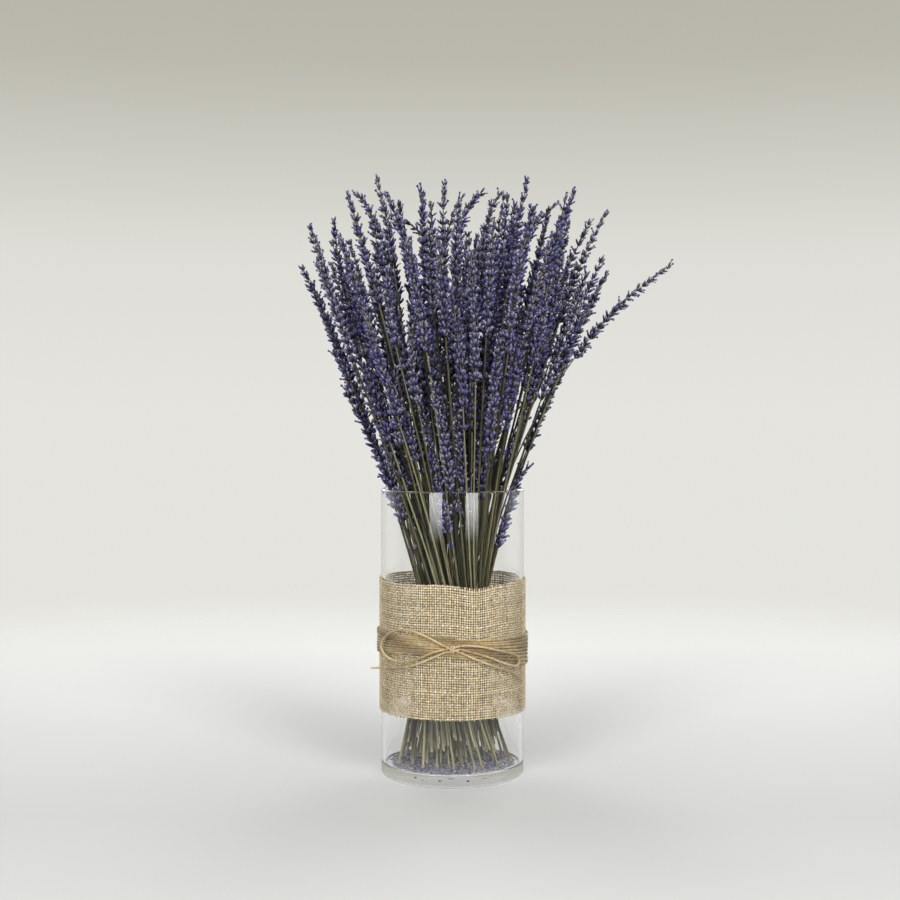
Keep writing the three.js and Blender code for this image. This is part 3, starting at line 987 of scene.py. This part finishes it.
def add_spike(surface, line, rng, third):
    """Whorls of calyces up the spike, with one or two small ones below it, bracts and some petals."""
    ahead, normals, across = frames(line)
    along = distances(line)

    def at(distance, table):
        return np.array([np.interp(distance, along, table[:, k]) for k in range(3)])

    kinds = {"calyx": [], "bud": [], "corolla": [], "bract": []}
    for place, share in whorl_places(along[STEM_RINGS], along[-1], rng):
        centre, t = at(place, line), unit(at(place, ahead))
        n, b = at(place, normals), at(place, across)    # with t, a frame across and along the sprig
        if share < 0:
            count, size = rng.integers(2, 5), 0.85
        else:
            count, size = round(8.5 - 5.0 * share ** 1.6), 1.05 - 0.28 * share
        facing = rng.uniform(0, TAU)
        for k in range(count):
            within = (k // 2 - (count / 2 - 1) / 2) * (2.6 / (count / 2))
            turn = facing + k % 2 * math.pi + within + rng.uniform(-0.25, 0.25)
            out = math.cos(turn) * n + math.sin(turn) * b
            tilt = math.radians(rng.uniform(16, 62) if share < 0.85 else rng.uniform(8, 34))
            axis = math.cos(tilt) * t + math.sin(tilt) * out
            root = centre + out * 0.7 * MM + t * rng.uniform(-1.6, 1.8) * MM
            length = rng.uniform(5.4, 7.4) * MM * size
            chance = rng.uniform()
            kind = "bud" if rng.uniform() < 0.12 + 0.4 * max(0, share - 0.8) else "calyx"
            grown = length * (0.8 if kind == "bud" else 1)
            kinds[kind].append((root, axis, out, grown, length * 0.8, chance))
            if kind == "calyx" and rng.uniform() < 0.36:
                bend = unit(axis + out * rng.uniform(-0.1, 0.5) + rng.standard_normal(3) * 0.15)
                mouth = root + axis * length * 0.93 - out * 0.09 * length
                kinds["corolla"].append((mouth, bend, out, rng.uniform(1.6, 3.0) * MM,
                                         rng.uniform(0.6, 1.05) * MM, rng.uniform()))
        for k in range(2):
            turn = facing + k * math.pi + rng.uniform(-0.3, 0.3)
            out = math.cos(turn) * n + math.sin(turn) * b
            axis = unit(t * 0.75 + out * rng.uniform(0.5, 0.9))
            kinds["bract"].append((centre + out * 0.6 * MM - t * 1.0 * MM, axis, out,
                                   rng.uniform(2.8, 4.4) * MM, rng.uniform(3, 4.4) * MM, rng.uniform()))
    for kind, form, slot in (("calyx", CALYX_FORM, 1), ("bud", BUD_FORM, 1), ("corolla", COROLLA_FORM, 2),
                             ("bract", BRACT_FORM, 3)):
        if kinds[kind]:
            root, axis, out, length, width, chance = (np.array(column) for column in zip(*kinds[kind]))
            stamp(surface, form, slot, root, axis, out, length, width, chance, third)


def add_shoot(surface, line, rng):
    """A short side twig from the bare stem, with a few small buds at its end."""
    ahead, normals, across = frames(line)
    i = int(np.argmin(np.abs(line[:, 2] - rng.uniform(0.19, 0.34))))
    turn = rng.uniform(0, TAU)
    out = math.cos(turn) * normals[i] + math.sin(turn) * across[i]
    reach = rng.uniform(5, 14) * MM
    twig = smooth_path([line[i], line[i] + (ahead[i] * 0.6 + out * 0.35) * reach,
                        line[i] + (ahead[i] * 1.1 + out * 0.8) * reach], 4)
    surface.add(*tube(twig, np.linspace(0.42, 0.28, len(twig)) * MM, 5), tint=(rng.uniform(), 0.5, 0))
    count = rng.integers(1, 5)
    axes = unit(unit(twig[-1] - twig[-2]) + rng.normal(0, 0.4, (count, 3)))
    lengths = rng.uniform(3.2, 5.2, count) * MM
    ends, outs = np.repeat(twig[-1:], count, axis=0), np.repeat(out[None], count, axis=0)
    chances = rng.uniform(0.4, 1, count)
    stamp(surface, CALYX_FORM, 1, ends, axes, outs, lengths, lengths * 0.8, chances, rng.uniform())


def add_sprig(surface, plan, rng):
    line = sprig_line(plan, rng)
    add_stem(surface, line, rng.uniform(), rng)
    add_spike(surface, line, rng, rng.uniform())
    if rng.uniform() < SHOOT_SHARE and line[STEM_RINGS][2] > SHOOT_SPIKE_FOOT:
        add_shoot(surface, line, rng)


def bunch():
    plans = [cad_plan(number) for number in range(1, SPRIGS + 1)]
    for number, plan in enumerate(plans, 1):
        surface = Surface()
        add_sprig(surface, plan, np.random.default_rng(1000 + number))
        piece = surface.piece("lavender_%02d" % number, PLANT)
        stand_for(piece, "sprig_%02d" % number)
    extras = extra_plans(plans)
    groups = np.array_split(np.arange(len(extras)), EXTRA_GROUPS)
    for index, group in enumerate(groups):
        surface = Surface()
        for number in group:
            add_sprig(surface, extras[number], np.random.default_rng(2000 + int(number)))
        piece = surface.piece("lavender_fill_%d" % (index + 1), PLANT)
        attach(piece, "root")


def bunch_tie():
    """A rubber band, three times round the stems."""
    surface = Surface()
    strand = 0.6 * MM
    inside = TIE_HIGH[0] - 2 * strand
    angles = np.linspace(0, TAU, 97)[:-1]
    for level in (-1.7, 0.1, 1.8):
        radius = inside + strand + 0.15 * MM * np.sin(angles * 23)
        line = round_vase(angles, TIE_HEIGHT + level * MM + 0.3 * MM * np.sin(angles + level), radius)
        line = np.concatenate([line, line[:1] + (0, 0, 0.2 * MM)])
        surface.add(*tube(line, strand, 8))
    stand_for(surface.piece("bunch_rubber_band", [RUBBER]), "bunch_tie")


# ------------ fallen florets

FALLEN = 430


def fallen_florets():
    rng = np.random.default_rng(41)
    surface = Surface()
    reach = BED_HIGH[0] - 3 * MM
    for form, slot, count, length, width in (
        (CALYX_FORM, 1, FALLEN, (4.2, 6.2), 0.8), (CALYX_FORM, 0, FALLEN // 5, (4.2, 6.2), 0.8),
        (COROLLA_FORM, 1, FALLEN // 2, (1.8, 3.2), 0.5), (BUD_FORM, 0, FALLEN // 4, (3, 4.5), 1.0),
        (BRACT_FORM, 1, FALLEN // 2, (2.5, 4.5), 1.0),
    ):
        radius = reach * np.sqrt(rng.uniform(0, 1, count))
        angle = rng.uniform(0, TAU, count)
        high = rng.uniform(0, 1, count) ** 1.6 * (2.6 - 1.4 * (radius / reach) ** 2) * MM
        places = np.stack([radius * np.cos(angle), radius * np.sin(angle),
                           BED_LOW[2] + 0.7 * MM + high * 0.6], axis=1)
        turn = rng.uniform(0, TAU, count)
        axes = np.stack([np.cos(turn), np.sin(turn), rng.uniform(-0.12, 0.3, count)], axis=1)
        lengths = rng.uniform(*length, count) * MM
        places -= axes * lengths[:, None] / 2 * (1, 1, 0)
        outs = np.stack([-np.sin(turn), np.cos(turn), rng.uniform(-1, 1, count)], axis=1)
        chances = rng.uniform(0.25, 1, count)
        stamp(surface, form, slot, places, axes, outs, lengths, lengths * width, chances, 0.9)
    piece = surface.piece("florets_on_floor", [CALYX, LITTER])
    stand_for(piece, "fallen_florets")


# ------------ stage and light

def stage():
    mesh = bpy.data.meshes.new("floor")
    reach = 6
    mesh.from_pydata([(-reach, -reach, 0), (reach, -reach, 0), (reach, reach, 0), (-reach, reach, 0)], [],
                     [(0, 1, 2, 3)])
    mesh.materials.append(floor_material())
    floor = add_object("floor", mesh)
    floor.location.z = -0.2 * MM    # just under the vase's foot


def fade_below(light, dark, bright):
    """Lets a lamp's face fade out downwards, so that its reflection has a soft lower end."""
    light.data.use_nodes = True
    lamp = Nodes(light.data.node_tree)
    height = lamp.axis(lamp.node("NewGeometry", {}).outputs["Position"], "Z")
    lamp.link(lamp.spread(height, dark, bright), lamp.tree.nodes["Emission"].inputs["Strength"])


def softbox(name, place, target, size, power):
    data = bpy.data.lights.new(name, "AREA")
    data.shape = "RECTANGLE"
    data.size, data.size_y = size
    data.energy = power
    data.color = (0.96, 0.98, 1.0)
    light = add_object(name, data)
    light.location = place
    direction = np.array(target, float) - np.array(place, float)
    yaw = math.atan2(direction[0], -direction[1])
    pitch = math.atan2(math.hypot(direction[0], direction[1]), -direction[2])
    light.rotation_euler = (pitch, 0, yaw + math.pi)
    light.visible_camera = False
    light.visible_transmission = False
    return light


def softbox_at(name, degrees, distance, height, aim, size, power):
    """A softbox at an angle from the front, turned to the vase's axis at the height aim."""
    angle = math.radians(degrees)
    place = (distance * math.sin(angle), -distance * math.cos(angle), height)
    return softbox(name, place, (0, 0, aim), size, power)


def studio_world():
    """What the camera sees behind the object, bright and even, and the dimmer room that lights it."""
    world = bpy.data.worlds.new("studio")
    world.use_nodes = True
    studio = Nodes(world.node_tree)
    direction = studio.node("TexCoord", {}).outputs["Generated"]
    seen = studio.ramp(studio.axis(direction, "Z"), (0.0, (0.78, 0.775, 0.735)), (0.1, (0.73, 0.725, 0.68)),
                       (0.22, (0.5, 0.49, 0.42)), (0.75, (0.16, 0.16, 0.135)))
    dimming = studio.ramp(studio.axis(direction, "Y"), (0.0, (0.12, 0.12, 0.12)), (0.4, (0.9, 0.9, 0.9)))
    room = studio.mix(1.0, seen, dimming, "MULTIPLY")
    ray = studio.node("LightPath", {}).outputs
    lights = studio.math("ADD", ray["Glossy Depth"], ray["Diffuse Depth"], use_clamp=True)
    studio.link(studio.mix(lights, seen, room), studio.tree.nodes["Background"].inputs["Color"])
    world.cycles.sampling_method = "NONE"
    bpy.context.scene.world = world


def lighting():
    for name, degrees in (("softbox_left", -26), ("softbox_right", 30)):
        light = softbox_at(name, degrees, distance=1.35, height=0.68, aim=0.55, size=(0.5, 1.25), power=25)
        fade_below(light, dark=0.09, bright=0.155)
    for name, degrees in (("fill_back_left", -150), ("fill_back_right", 152)):
        softbox_at(name, degrees, distance=1.5, height=0.9, aim=0.4, size=(0.7, 1.1), power=11)
    softbox("overhead", place=(0, -0.1, 2.1), target=(0, 0, 0), size=(2.4, 2.4), power=34)
    studio_world()
    bpy.context.scene.view_settings.view_transform = "Standard"
    cycles = bpy.context.scene.cycles
    cycles.max_bounces = cycles.transmission_bounces = 24    # the glass's walls and floor take many


add_camera()
bow_strand("bow_loop_left", LEFT_LOOP, 1)
bow_strand("bow_loop_right", RIGHT_LOOP, 2)
bow_strand("bow_tail_left", LEFT_TAIL, 3)
bow_strand("bow_tail_right", RIGHT_TAIL, 4)
bow_knot()
twine_winding()
glass_vase()
burlap_wrap()
bunch()
bunch_tie()
fallen_florets()
stage()
lighting()
